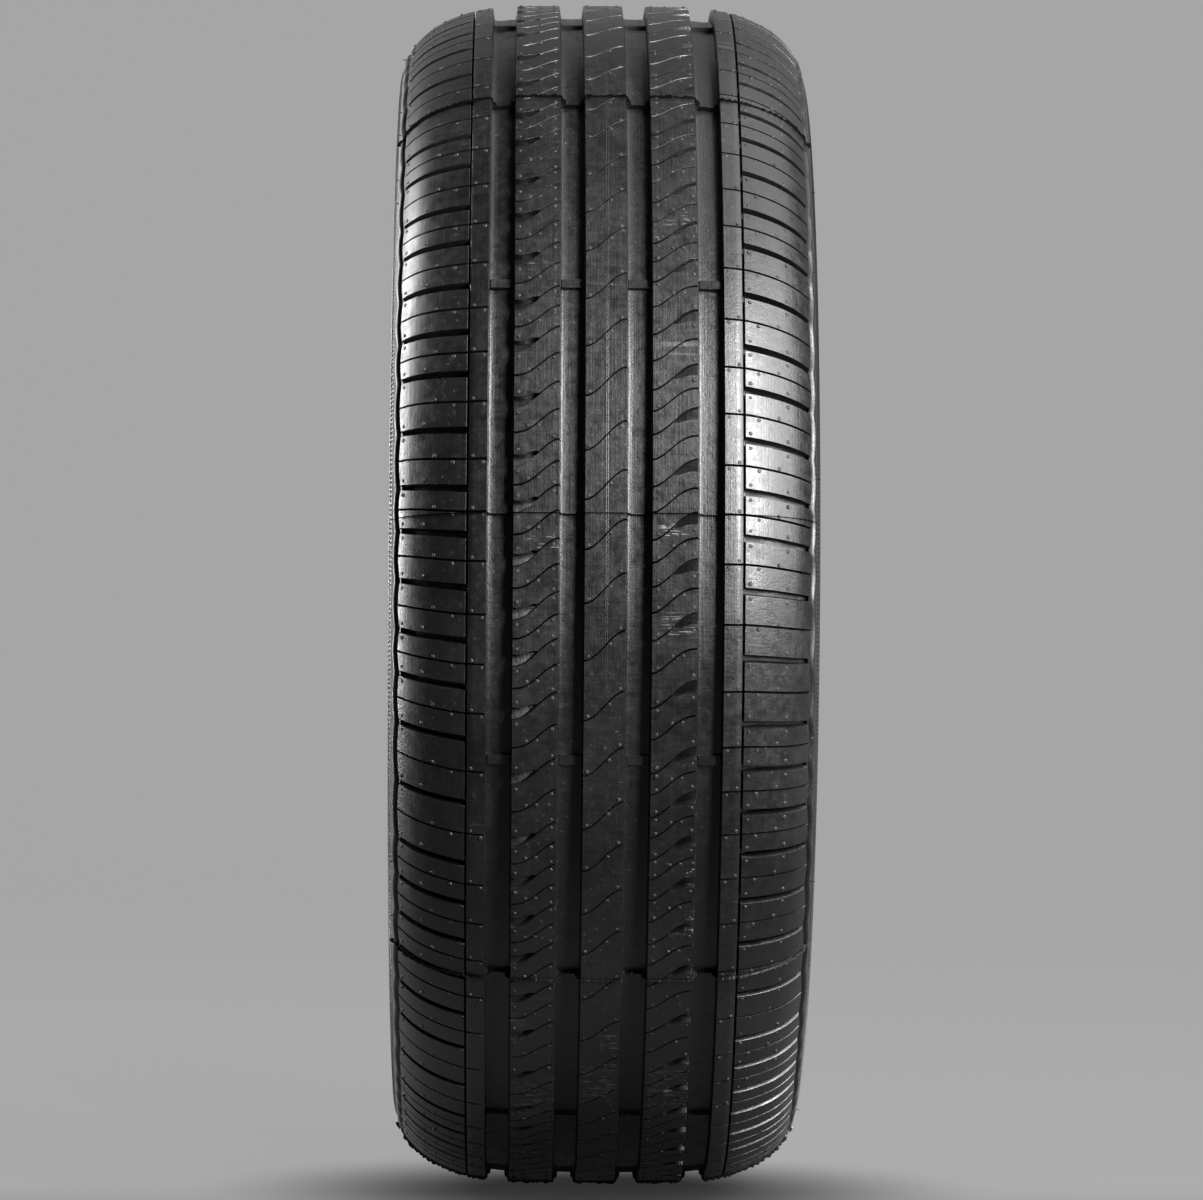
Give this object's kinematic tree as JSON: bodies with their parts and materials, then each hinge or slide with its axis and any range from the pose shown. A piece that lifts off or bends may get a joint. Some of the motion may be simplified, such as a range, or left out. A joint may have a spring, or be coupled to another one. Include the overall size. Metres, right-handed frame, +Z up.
{
  "type": "car tyre",
  "caption": "Car tyre with straight main grooves round the tread, slotted shoulder blocks, plain side walls and bead seats that press onto a wheel rim.",
  "frame": {"origin": "centre of the wheel, on the axle line midway between the two beads", "axes": "+Y along the axle, +Z up as the tyre stands on its tread, +X towards the tread face that is seen first"},
  "size_m": [0.6319, 0.214, 0.6316],
  "materials": {
    "rubber": "satin black moulded rubber"
  },
  "bodies": {
    "root": {"tyre": "rubber"}
  },
  "joints": []
}
